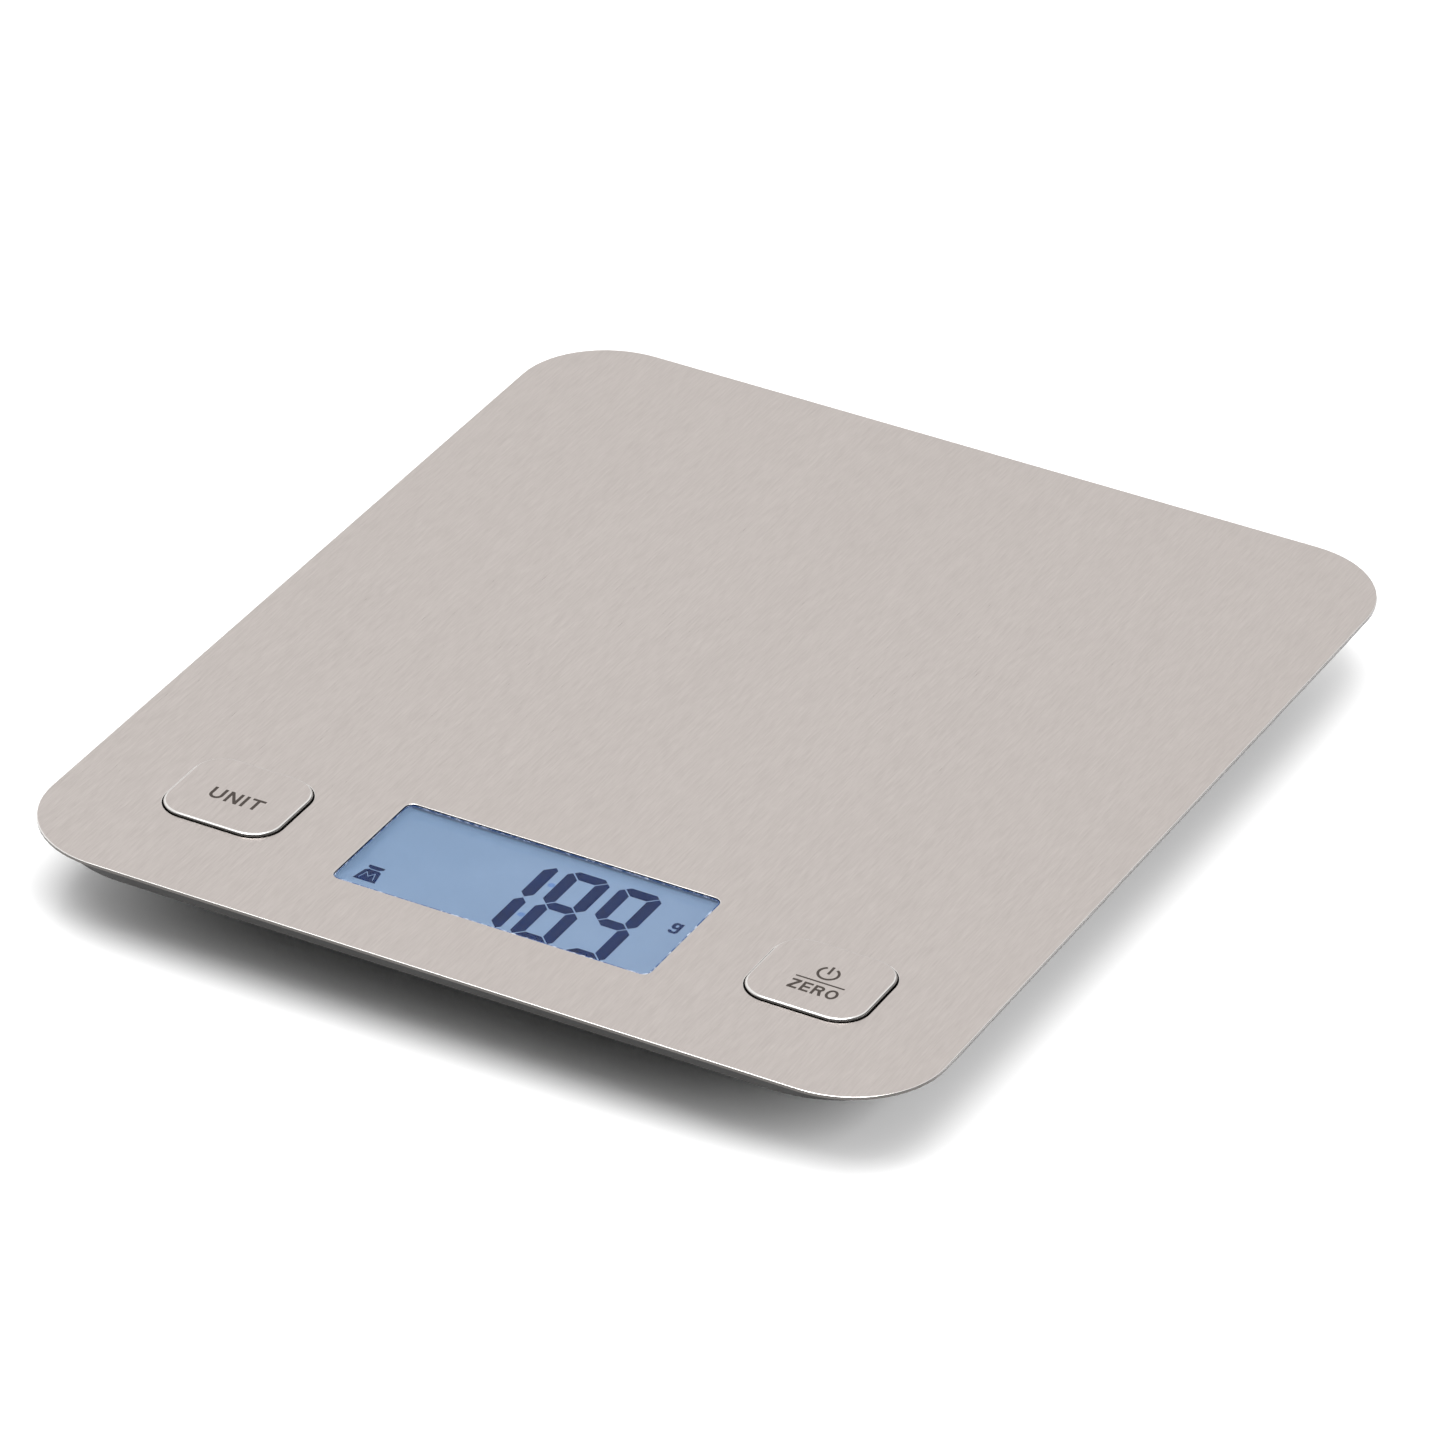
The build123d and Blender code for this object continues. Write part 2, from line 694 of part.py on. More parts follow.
# ---------------------------------------------------------------- buttons and their switches
for name, x in buttons:
    with BuildPart() as switch_body:
        with BuildSketch(Plane.XY.offset(board_top)):
            with Locations((x, button_y)):
                RectangleRounded(switch_size, switch_size, switch_corner)
        extrude(amount=switch_height)
        with BuildSketch(Plane.XY.offset(switch_top)):
            with Locations((x, button_y)):
                Circle(plunger_radius + running_fit)
        extrude(amount=-plunger_depth - plunger_room, mode=Mode.SUBTRACT)
    save(switch_body, name + "_switch_body")

    with BuildPart() as switch_plunger:
        with BuildSketch(Plane.XY.offset(switch_top - plunger_depth)):
            with Locations((x, button_y)):
                Circle(plunger_radius)
        extrude(amount=plunger_depth + plunger_height)
    save(switch_plunger, name + "_switch_plunger")

    with BuildPart() as button_key:
        with BuildSketch(Plane.XY.offset(flange_bottom)):
            with Locations((x, button_y)):
                RectangleRounded(
                    button_width + 2 * key_flange,
                    button_depth + 2 * key_flange,
                    button_corner + key_flange,
                )
        extrude(amount=key_flange_thickness)
        with BuildSketch(Plane.XY.offset(flange_top)):
            with Locations((x, button_y)):
                RectangleRounded(
                    button_width - 2 * cap_wall,
                    button_depth - 2 * cap_wall,
                    button_corner - cap_wall,
                )
        extrude(amount=cap_top - cap_wall - flange_top)
        with BuildSketch(Plane.XY.offset(plunger_top)):
            with Locations((x, button_y)):
                Circle(key_stem_radius)
        extrude(amount=flange_bottom - plunger_top)
    save(button_key, name + "_button_key")

    with BuildPart() as button_cap:
        with BuildSketch(Plane.XY.offset(frame_top - cap_skirt)):
            with Locations((x, button_y)):
                RectangleRounded(button_width, button_depth, button_corner)
        extrude(amount=cap_top - frame_top + cap_skirt)
        fillet(button_cap.faces().sort_by(Axis.Z)[-1].edges(), cap_edge_round)
        with BuildSketch(Plane.XY.offset(frame_top - cap_skirt)):
            with Locations((x, button_y)):
                RectangleRounded(
                    button_width - 2 * cap_wall,
                    button_depth - 2 * cap_wall,
                    button_corner - cap_wall,
                )
        extrude(amount=cap_top - cap_wall - frame_top + cap_skirt, mode=Mode.SUBTRACT)
    save(button_cap, name + "_button_cap")

# ---------------------------------------------------------------- load cells and feet
for name, sx, sy in corners:
    x = sx * corner_x
    y = sy * corner_y
    root = -sy                 # the tongue of each cell is rooted towards the middle of the scale

    with BuildPart() as load_cell:
        with BuildSketch(Plane((x, y, cell_bottom))):
            RectangleRounded(cell_size, cell_size, cell_corner)
            slot_length = tongue_end + slot_end + slot_width
            slot_middle = root * (slot_end - tongue_end - slot_width) / 2
            with Locations(
                (-(tongue_width + slot_width) / 2, slot_middle),
                ((tongue_width + slot_width) / 2, slot_middle),
            ):
                Rectangle(slot_width, slot_length, mode=Mode.SUBTRACT)
            with Locations((0, -root * (tongue_end + slot_width / 2))):
                Rectangle(tongue_width + 2 * slot_width, slot_width, mode=Mode.SUBTRACT)
            Circle(pin_radius + pin_clearance, mode=Mode.SUBTRACT)
        extrude(amount=cell_thickness)
    save(load_cell, "load_cell_" + name)

    with BuildPart() as strain_gauge:
        with BuildSketch(Plane((x, y + root * gauge_offset, cell_top))):
            RectangleRounded(gauge_size[0], gauge_size[1], gauge_corner)
        extrude(amount=gauge_size[2])
        fillet(strain_gauge.faces().sort_by(Axis.Z)[-1].edges(), gauge_edge_round)
    save(strain_gauge, "strain_gauge_" + name)

    with BuildPart() as cell_holder:
        with BuildSketch(Plane((x, y, floor_top))):
            RectangleRounded(holder_size, holder_size, holder_corner)
            Rectangle(holder_ledge, holder_ledge, mode=Mode.SUBTRACT)
        extrude(amount=holder_top - floor_top)
        with BuildSketch(Plane((x, y, cell_bottom))):
            RectangleRounded(cell_size + 2 * cell_clearance, cell_size + 2 * cell_clearance, cell_corner)
        extrude(amount=holder_top - cell_bottom, mode=Mode.SUBTRACT)
    save(cell_holder, "cell_holder_" + name)

    with BuildPart() as foot:
        with BuildSketch(Plane((x, y, foot_base))):
            Circle(foot_radius)
        extrude(amount=foot_top - foot_base)
        fillet(foot.faces().sort_by(Axis.Z)[0].edges(), foot_edge_round)
        with BuildSketch(Plane((x, y, foot_top))):
            Circle(boss_radius)
        extrude(amount=cell_bottom - foot_top)
        with BuildSketch(Plane((x, y, cell_bottom))):
            Circle(pin_radius)
        extrude(amount=pin_top - cell_bottom)
        # shallow seat for the pad
        with BuildSketch(Plane((x, y, foot_base))):
            Circle(pad_radius + pad_clearance)
        extrude(amount=pad_thickness - foot_base, mode=Mode.SUBTRACT)
    save(foot, "foot_" + name)

    with BuildPart() as foot_pad:
        with BuildSketch(Plane((x, y, 0))):
            Circle(pad_radius)
        extrude(amount=pad_thickness)
        fillet(foot_pad.faces().sort_by(Axis.Z)[0].edges(), pad_edge_round)
    save(foot_pad, "foot_pad_" + name)


# ---------------------------------------------------------------- wires
def wire(points, radii):
    """Insulated wire at one height along straight runs joined by tangent arcs."""
    with BuildLine() as route:
        FilletPolyline(*[(px, py, wire_z) for px, py in points], radius=radii)
    with BuildSketch(Plane(origin=route.line @ 0, z_dir=route.line % 0)) as section:
        Circle(wire_radius)
    sweep(section.sketch, path=route.line)


cell_wire_y = corner_y - gauge_offset - gauge_size[1] / 2
front_route = [(47, -cell_wire_y), (47, -35), (42, -30.5), (35, -30.5), (30, -35), (30, board_rear_y)]
front_radii = [5, 7, 7, 5]
rear_route = [(47, cell_wire_y), (47, 33), (46, 17), (45, 0), (39, -15), (26.5, -30), (26.5, board_rear_y)]
rear_radii = [40, 60, 20, 20, 12]
for name, sx, sy in corners:
    route_points = front_route if sy < 0 else rear_route
    route_radii = front_radii if sy < 0 else rear_radii
    with BuildPart() as sensor_cable:
        wire([(sx * px, py) for px, py in route_points], route_radii)
    save(sensor_cable, "sensor_cable_" + name)

tail_x = bay_half_length + tail_reach
with BuildPart() as battery_wire_red:
    wire(
        [(tail_x, battery_y[0]), (31.5, battery_y[0]), (32.5, 8), (31.5, -4), (19, -17), (9, -29),
         (9, board_rear_y)],
        [3, 12, 12, 30, 12],
    )
save(battery_wire_red, "battery_wire_red")

with BuildPart() as battery_wire_black:
    wire(
        [(tail_x, battery_y[1]), (34, battery_y[1]), (36.5, 19), (35.5, -5), (23, -20.5), (12.5, -31),
         (12.5, board_rear_y)],
        [4.5, 12, 14, 30, 12],
    )
save(battery_wire_black, "battery_wire_black")


# ---------------------------------------------------------------- screws
def screw(x, y, head_bottom, head_radius, head_height, shank_radius):
    """Pan-head screw driven upwards, with a cross recess in its head."""
    with BuildSketch(Plane((x, y, head_bottom))) as head:
        Circle(head_radius)
    extrude(head.sketch, amount=head_height)
    with BuildSketch(Plane((x, y, head_bottom + head_height))) as shank:
        Circle(shank_radius)
    extrude(shank.sketch, amount=screw_tip - head_bottom - head_height)
    with BuildSketch(Plane((x, y, head_bottom))) as recess:
        Rectangle(head_radius * drive_length, drive_width)
        Rectangle(drive_width, head_radius * drive_length)
    extrude(recess.sketch, amount=drive_depth, mode=Mode.SUBTRACT)


with BuildPart() as housing_screws:
    for x, y in screw_xy:
        screw(x, y, screw_seat - screw_head_height, screw_head_radius, screw_head_height, screw_radius)
save(housing_screws, "housing_screws")

with BuildPart() as board_screws:
    for x, y in board_screw_places():
        screw(
            x, y, board_bottom - board_screw_head_height, board_screw_head_radius,
            board_screw_head_height, board_screw_radius,
        )
save(board_screws, "board_screws")
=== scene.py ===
import json
import math

import bmesh
import bpy
from mathutils import Matrix, Vector


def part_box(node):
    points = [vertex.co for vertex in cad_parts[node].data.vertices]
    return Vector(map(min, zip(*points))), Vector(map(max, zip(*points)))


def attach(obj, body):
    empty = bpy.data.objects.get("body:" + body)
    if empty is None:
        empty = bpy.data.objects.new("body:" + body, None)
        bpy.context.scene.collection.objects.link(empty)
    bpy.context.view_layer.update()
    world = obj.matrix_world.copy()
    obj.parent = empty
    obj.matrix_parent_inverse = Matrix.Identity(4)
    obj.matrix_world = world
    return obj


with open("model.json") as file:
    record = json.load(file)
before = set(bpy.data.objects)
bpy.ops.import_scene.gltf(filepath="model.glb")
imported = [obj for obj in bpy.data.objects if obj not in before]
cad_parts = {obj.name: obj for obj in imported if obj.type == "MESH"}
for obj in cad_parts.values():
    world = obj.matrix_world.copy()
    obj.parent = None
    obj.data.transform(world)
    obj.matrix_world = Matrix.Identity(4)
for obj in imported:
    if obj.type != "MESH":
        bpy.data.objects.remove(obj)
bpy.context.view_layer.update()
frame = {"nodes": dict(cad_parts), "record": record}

MM = 0.001
nodes = frame["nodes"]

# ---------------------------------------------------------------- places read from the frame
_, plate_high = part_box("platform_plate")
film_low, film_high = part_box("lcd_front_polarizer")
unit_low, unit_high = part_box("unit_button_cap")
zero_low, zero_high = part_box("zero_button_cap")
unit_middle = (unit_low + unit_high) / 2
zero_middle = (zero_low + zero_high) / 2


# ---------------------------------------------------------------- node materials
class Shader:
    """A node material built up in reading order. Noise scales are in cycles per metre."""

    def __init__(self, name):
        self.material = bpy.data.materials.new(name)
        self.material.use_nodes = True
        self.tree = self.material.node_tree
        self.tree.nodes.clear()
        self.output = self.add("ShaderNodeOutputMaterial")
        self.surface = self.add("ShaderNodeBsdfPrincipled")
        self.link(self.surface.outputs["BSDF"], self.output.inputs["Surface"])
        self.place = self.add("ShaderNodeTexCoord").outputs["Object"]

    def add(self, kind, **settings):
        made = self.tree.nodes.new(kind)
        for key, value in settings.items():
            setattr(made, key, value)
        return made

    def link(self, source, target):
        self.tree.links.new(source, target)

    def feed(self, socket_name, source):
        """Links a source to the named socket of the surface shader."""
        self.link(source, self.surface.inputs[socket_name])

    def set(self, **values):
        """Constants on the surface shader's own sockets; _ stands for a space in a name."""
        for key, value in values.items():
            self.surface.inputs[key.replace("_", " ")].default_value = value
        return self

    def stretched(self, scale):
        """Object coordinates, in metres, multiplied by scale."""
        mapping = self.add("ShaderNodeMapping")
        mapping.inputs["Scale"].default_value = scale
        self.link(self.place, mapping.inputs["Vector"])
        return mapping.outputs["Vector"]

    def noise(self, scale, detail=3.0, roughness=0.5):
        made = self.add("ShaderNodeTexNoise")
        made.inputs["Scale"].default_value = 1.0
        made.inputs["Detail"].default_value = detail
        made.inputs["Roughness"].default_value = roughness
        self.link(self.stretched(scale), made.inputs["Vector"])
        return made.outputs["Fac"]

    def cells(self, size_mm):
        made = self.add("ShaderNodeTexVoronoi")
        made.inputs["Scale"].default_value = 1.0
        self.link(self.stretched([1.0 / (size_mm * MM)] * 3), made.inputs["Vector"])
        return made.outputs["Distance"]

    def stripes(self, scale, **values):
        """Bands that follow each other along x."""
        made = self.add("ShaderNodeTexWave", wave_type="BANDS", bands_direction="X")
        made.inputs["Scale"].default_value = 1.0
        for key, value in values.items():
            made.inputs[key].default_value = value
        self.link(self.stretched(scale), made.inputs["Vector"])
        return made.outputs["Fac"]

    def step_up(self, factor, low, high):
        """Black below low, white above high."""
        made = self.add("ShaderNodeValToRGB")
        black, white = made.color_ramp.elements
        black.position, white.position = low, high
        self.link(factor, made.inputs["Fac"])
        return made.outputs["Color"]

    def remap(self, factor, from_low, from_high, low, high):
        made = self.add("ShaderNodeMapRange")
        made.inputs["From Min"].default_value = from_low
        made.inputs["From Max"].default_value = from_high
        made.inputs["To Min"].default_value = low
        made.inputs["To Max"].default_value = high
        self.link(factor, made.inputs["Value"])
        return made.outputs["Result"]

    def span(self, factor, low, high):
        """Maps 0.3 to 0.7, where most of a noise lies, to low to high."""
        return self.remap(factor, 0.3, 0.7, low, high)

    def mix(self, factor, first, second):
        """First where factor is 0, second where it is 1; each a colour or a socket."""
        made = self.add("ShaderNodeMix", data_type="RGBA")
        self.link(factor, made.inputs["Factor"])
        for socket, value in ((made.inputs[6], first), (made.inputs[7], second)):
            if isinstance(value, tuple):
                socket.default_value = value + (1.0,)
            else:
                self.link(value, socket)
        return made.outputs[2]

    def math(self, operation, first, second):
        made = self.add("ShaderNodeMath", operation=operation)
        for socket, value in zip(made.inputs, (first, second)):
            if isinstance(value, float):
                socket.default_value = value
            else:
                self.link(value, socket)
        return made.outputs["Value"]

    def scaled(self, value, factor):
        return self.math("MULTIPLY", value, factor)

    def above(self, value, threshold):
        """1 where value is above the threshold, otherwise 0."""
        return self.math("GREATER_THAN", value, threshold)

    def axis(self, vector, letter):
        split = self.add("ShaderNodeSeparateXYZ")
        self.link(vector, split.inputs["Vector"])
        return split.outputs[letter]

    def facing(self, letter):
        """How far the surface looks along that axis, from -1 to 1."""
        return self.axis(self.add("ShaderNodeNewGeometry").outputs["Normal"], letter)

    def colour(self, value):
        self.feed("Base Color", value)

    def rough(self, value):
        self.feed("Roughness", value)

    def bump(self, height, strength, depth_mm):
        made = self.add("ShaderNodeBump")
        made.inputs["Strength"].default_value = strength
        made.inputs["Distance"].default_value = depth_mm * MM
        self.link(height, made.inputs["Height"])
        self.feed("Normal", made.outputs["Normal"])


FLAT_FACING = 0.985       # a face that looks this far up or down is flat
ROUNDED_FACING = 0.35     # between this and flat, it is on a rounded edge; below it the steel gets painted shade
END_FACING = 0.8          # a face that looks this far along a cell is one of its ends
SLEEVE_BAND_START = 0.0115   # metres from the middle of a cell


def brushed_steel():
    """Brushed stainless sheet; its rounding is polished and partly a painted highlight, its side
    and under faces painted shade.
    """
    s = Shader("steel_sheet").set(Metallic=1.0)
    hairline = s.noise((6500.0, 330.0, 6500.0), detail=2.0, roughness=0.7)
    scratch = s.noise((3500.0, 190.0, 3500.0), detail=3.0, roughness=0.65)
    band = s.noise((160.0, 6.0, 160.0), detail=3.0, roughness=0.6)
    cloud = s.noise((16.0, 7.0, 16.0), detail=2.0)
    mottle = s.noise((900.0, 420.0, 900.0), detail=4.0, roughness=0.7)
    grain = s.math("ADD", s.scaled(hairline, 0.40), s.scaled(scratch, 0.60))
    tone = s.math("ADD", s.scaled(s.span(grain, 0.0, 1.0), 0.65), s.scaled(band, 0.15))
    tone = s.math("ADD", tone, s.scaled(mottle, 0.20))
    sheet = s.mix(tone, (0.465, 0.421, 0.397), (0.635, 0.583, 0.555))
    sheet = s.mix(s.span(cloud, 0.0, 0.14), sheet, (0.500, 0.458, 0.437))
    upward = s.facing("Z")
    flat = s.above(upward, FLAT_FACING)
    rounded = s.above(upward, ROUNDED_FACING)
    # Painted shade: faces that look sideways or down get a near-black steel colour.
    painted_side_shade = s.mix(grain, (0.09, 0.085, 0.08), (0.15, 0.14, 0.135))
    # The rounding's colour, brighter than the sheet's, is partly polish and partly a painted
    # highlight.
    s.colour(s.mix(flat, s.mix(rounded, painted_side_shade, (0.82, 0.80, 0.78)), sheet))
    brushed = s.math("ADD", s.span(grain, 0.28, 0.40), s.span(cloud, -0.02, 0.02))
    polished = s.scaled(s.math("SUBTRACT", 1.0, flat), 0.21)
    s.rough(s.math("ADD", s.scaled(brushed, flat), polished))
    s.bump(s.scaled(grain, flat), 0.20, 0.012)
    return s.material


def moulded(name, dark, light, roughness, sheen=0.5):
    """Injection-moulded plastic with a fine spark texture."""
    s = Shader(name).set(Specular_IOR_Level=sheen)
    spark = s.cells(0.35)
    drift = s.noise((60.0, 60.0, 60.0))
    s.colour(s.mix(drift, dark, light))
    s.rough(s.span(drift, roughness - 0.06, roughness + 0.06))
    s.bump(spark, 0.3, 0.02)
    return s.material


def rubber(name, dark, light):
    """Matt rubber or silicone with a dusty bloom."""
    s = Shader(name).set(Specular_IOR_Level=0.25)
    dust = s.noise((900.0, 900.0, 900.0), detail=5.0, roughness=0.7)
    s.colour(s.mix(s.span(dust, 0.0, 0.6), dark, light))
    s.rough(s.span(dust, 0.78, 0.92))
    s.bump(dust, 0.35, 0.05)
    return s.material


def plated(name, dark, light, roughness):
    """Zinc or nickel plating, or foil, with faint marks."""
    s = Shader(name).set(Metallic=1.0)
    marks = s.noise((700.0, 700.0, 700.0), detail=4.0)
    s.colour(s.mix(marks, dark, light))
    s.rough(s.span(marks, roughness - 0.07, roughness + 0.09))
    s.bump(marks, 0.1, 0.02)
    return s.material


def clear_acrylic():
    """Polished pane whose milled edge is frosted, with painted glints and a painted blue glow.

    The index is well below acrylic's 1.49, because the photograph shows hardly any reflection
    over the display. The display's own pieces are placed for the parallax it gives.
    """
    s = Shader("clear_lens").set(IOR=1.15, Specular_IOR_Level=0.03, Emission_Strength=1.0)
    s.set(Specular_Tint=(0.0, 0.0, 0.0, 1.0))
    smear = s.noise((120.0, 60.0, 120.0), detail=4.0)
    glint = s.noise((800.0, 800.0, 800.0), detail=3.0, roughness=0.7)
    clear = s.above(s.math("ABSOLUTE", s.facing("Z"), 0.0), FLAT_FACING)
    edge = s.math("SUBTRACT", 1.0, clear)
    polished = s.mix(smear, (0.97, 0.985, 1.0), (1.0, 1.0, 1.0))
    # Painted glints: pale spots in the milled edge's colour.
    milled = s.mix(s.span(glint, -0.9, 1.0), (0.055, 0.085, 0.17), (0.92, 0.95, 1.0))
    s.colour(s.mix(clear, milled, polished))
    # Painted light: the milled edge glows blue, standing in for backlight reaching it.
    s.feed("Emission Color", s.mix(clear, (0.014, 0.036, 0.110), (0.0, 0.0, 0.0)))
    s.rough(s.math("ADD", s.scaled(edge, 0.45), s.span(smear, 0.0, 0.03)))
    s.feed("Transmission Weight", s.math("ADD", s.scaled(clear, 0.85), 0.15))
    return s.material


def display_film():
    """Polarizer lit from behind: an even blue that drifts a little from left to right."""
    s = Shader("polarizer_film")
    s.set(Specular_IOR_Level=0.02, Emission_Strength=1.0, Roughness=0.5)
    drift = s.noise((38.0, 55.0, 38.0), detail=2.0)
    grain = s.noise((2500.0, 2500.0, 2500.0), detail=2.0)
    across = s.remap(s.axis(s.place, "X"), film_low.x, film_high.x, 0.0, 1.0)
    tone = s.mix(across, (0.142, 0.221, 0.343), (0.160, 0.229, 0.345))
    tone = s.mix(s.span(drift, 0.0, 0.10), tone, (0.26, 0.36, 0.54))
    tone = s.mix(s.span(grain, 0.0, 0.10), tone, (0.12, 0.22, 0.42))
    s.feed("Emission Color", tone)
    s.colour(s.mix(drift, (0.05, 0.07, 0.1), (0.07, 0.09, 0.12)))
    return s.material


def printed(name, dark, light, roughness):
    """Screen-printed ink with a slightly uneven film."""
    s = Shader(name).set(Specular_IOR_Level=0.1)
    film = s.noise((1800.0, 1800.0, 1800.0), detail=3.0)
    s.colour(s.mix(film, dark, light))
    s.rough(s.span(film, roughness - 0.08, roughness + 0.08))
    s.bump(film, 0.1, 0.005)
    return s.material


def circuit_board():
    """Green solder mask over copper: the traces show as paler lines."""
    s = Shader("circuit_board").set(Coat_Weight=0.4, Coat_Roughness=0.15)
    weave = s.stripes((180.0, 180.0, 180.0), Distortion=6.0, Detail=1.0)
    drift = s.noise((400.0, 400.0, 400.0))
    trace = s.step_up(weave, 0.70, 0.74)
    s.colour(s.mix(trace, (0.006, 0.075, 0.022), (0.012, 0.13, 0.04)))
    s.rough(s.span(drift, 0.28, 0.4))
    s.bump(trace, 0.25, 0.035)
    return s.material


def frosted(name, low, high, power):
    """Frosted glass or plastic with a dot pattern and a glow of that power."""
    s = Shader(name).set(Emission_Strength=power)
    dots = s.cells(0.8)
    tone = s.mix(dots, low, high)
    s.colour(tone)
    s.feed("Emission Color", tone)
    s.rough(s.span(dots, 0.4, 0.6))
    return s.material


def zebra():
    """Layered silicone: thin dark conducting stripes in pale rubber."""
    s = Shader("conductive_rubber")
    stripe = s.stripes((2500.0, 0.0, 0.0))
    s.colour(s.mix(stripe, (0.03, 0.02, 0.02), (0.55, 0.25, 0.25)))
    s.rough(s.span(stripe, 0.6, 0.8))
    return s.material


def battery_sleeve(name, button_side):
    """Plain blue-grey shrink sleeve with a pale band at the button end, and bare plated ends.

    button_side is 1 where the button points to +x and -1 where it points to -x.
    """
    s = Shader(name).set(Coat_Weight=0.4, Coat_Roughness=0.12)
    drift = s.noise((90.0, 400.0, 400.0))
    band = s.above(s.scaled(s.axis(s.place, "X"), button_side), SLEEVE_BAND_START)
    ends = s.above(s.math("ABSOLUTE", s.facing("X"), 0.0), END_FACING)
    sleeve = s.mix(drift, (0.050, 0.085, 0.115), (0.070, 0.110, 0.145))
    pale = s.mix(drift, (0.56, 0.57, 0.57), (0.66, 0.67, 0.67))
    s.colour(s.mix(ends, s.mix(band, sleeve, pale), (0.62, 0.61, 0.59)))
    s.feed("Metallic", ends)
    s.rough(s.span(drift, 0.22, 0.34))
    s.bump(drift, 0.15, 0.03)
    return s.material


def grey(level):
    return (level, level, level)


# ---------------------------------------------------------------- one material for each slot
materials = {
    "steel_sheet": brushed_steel(),
    "adhesive_film": moulded("adhesive_film", (0.70, 0.69, 0.62), (0.80, 0.79, 0.74), 0.5),
    "black_abs": moulded(
        "black_abs", (0.0115, 0.0110, 0.0105), (0.0200, 0.0190, 0.0185), 0.50, sheen=0.28,
    ),
    "label_foil": plated("label_foil", grey(0.62), grey(0.74), 0.42),
    "screw_steel": plated("screw_steel", (0.30, 0.30, 0.31), (0.44, 0.44, 0.45), 0.34),
    "clear_lens": clear_acrylic(),
    "polarizer_film": display_film(),
    "lcd_glass": frosted("lcd_glass", (0.30, 0.42, 0.60), (0.38, 0.50, 0.68), 0.2),
    "light_guide": frosted("light_guide", (0.25, 0.40, 0.75), (0.40, 0.55, 0.88), 0.8),
    "led_white": frosted("led_white", (0.80, 0.85, 0.95), (0.92, 0.94, 0.98), 1.5),
    "conductive_rubber": zebra(),
    "white_abs": moulded("white_abs", (0.70, 0.70, 0.67), (0.80, 0.80, 0.77), 0.42),
    "circuit_board": circuit_board(),
    "chip_epoxy": moulded("chip_epoxy", grey(0.010), grey(0.020), 0.35),
    "switch_body": moulded("switch_body", grey(0.020), grey(0.035), 0.4),
    "grey_abs": moulded("grey_abs", (0.020, 0.021, 0.023), (0.034, 0.036, 0.038), 0.46),
    "battery_sleeve": battery_sleeve("battery_sleeve", 1.0),
    "contact_steel": plated("contact_steel", (0.60, 0.59, 0.56), (0.78, 0.77, 0.74), 0.24),
    "red_insulation": moulded("red_insulation", (0.42, 0.012, 0.012), (0.55, 0.02, 0.02), 0.38),
    "black_insulation": moulded("black_insulation", grey(0.010), grey(0.018), 0.38),
    "cell_steel": plated("cell_steel", (0.48, 0.48, 0.49), (0.62, 0.62, 0.63), 0.3),
    "gauge_silicone": rubber("gauge_silicone", (0.66, 0.66, 0.63), (0.80, 0.80, 0.77)),
    "cable_jacket": moulded("cable_jacket", (0.66, 0.66, 0.64), (0.78, 0.78, 0.76), 0.5),
    "pad_rubber": rubber("pad_rubber", grey(0.022), (0.060, 0.060, 0.058)),
}
slot_of = {entry["node"]: entry["material_slot"] for entry in frame["record"]["subparts"]}
for node_name, cad_object in nodes.items():
    mesh = cad_object.data
    mesh.materials.clear()
    mesh.materials.append(materials[slot_of[node_name]])
# the second cell lies the other way round
nodes["battery_2"].data.materials[0] = battery_sleeve("battery_sleeve_turned", -1.0)

key_ink = printed("key_ink", (0.034, 0.027, 0.023), (0.052, 0.043, 0.038), 0.5)
segment_dye = printed("segment_dye", (0.001, 0.009, 0.052), (0.003, 0.014, 0.066), 0.6)
ghost_dye = printed("ghost_dye", (0.10, 0.19, 0.40), (0.11, 0.20, 0.42), 0.4)


# ---------------------------------------------------------------- flat outlines, in millimetres
SHARPEST_MITRE = 0.3      # least cosine a mitre is stretched for
WELD_DISTANCE = 1e-7      # metres


def arc(cx, cy, radius, start, end, steps):
    """Points on a circle, angles in degrees, counter-clockwise when end is larger."""
    span = math.radians(end - start)
    first = math.radians(start)
    turns = [first + span * i / steps for i in range(steps + 1)]
    return [(cx + radius * math.cos(turn), cy + radius * math.sin(turn)) for turn in turns]


def oval(cx, cy, half_width, half_height, count):
    """A closed ellipse of count points."""
    circle = arc(0, 0, 1, 0, 360 - 360 / count, count - 1)
    return [(cx + half_width * x, cy + half_height * y) for x, y in circle]


def rectangle(left, low, right, high):
    return [(left, low), (right, low), (right, high), (left, high)]


def stroke(points, width):
    """The outline loop of an open line of that width with mitred corners."""
    left, right = [], []
    last = len(points) - 1
    for i, point in enumerate(points):
        here = Vector(point)
        headings = []
        if i > 0:
            headings.append((here - Vector(points[i - 1])).normalized())
        if i < last:
            headings.append((Vector(points[i + 1]) - here).normalized())
        heading = sum(headings, Vector((0.0, 0.0))).normalized()
        side = Vector((-heading.y, heading.x))
        stretch = 1.0 / max(SHARPEST_MITRE, heading.dot(headings[0]))
        left.append(tuple(here + side * (width / 2 * stretch)))
        right.append(tuple(here - side * (width / 2 * stretch)))
    return left + right[::-1]


def shifted(loops, dx, dy):
    return [[(x + dx, y + dy) for x, y in loop] for loop in loops]


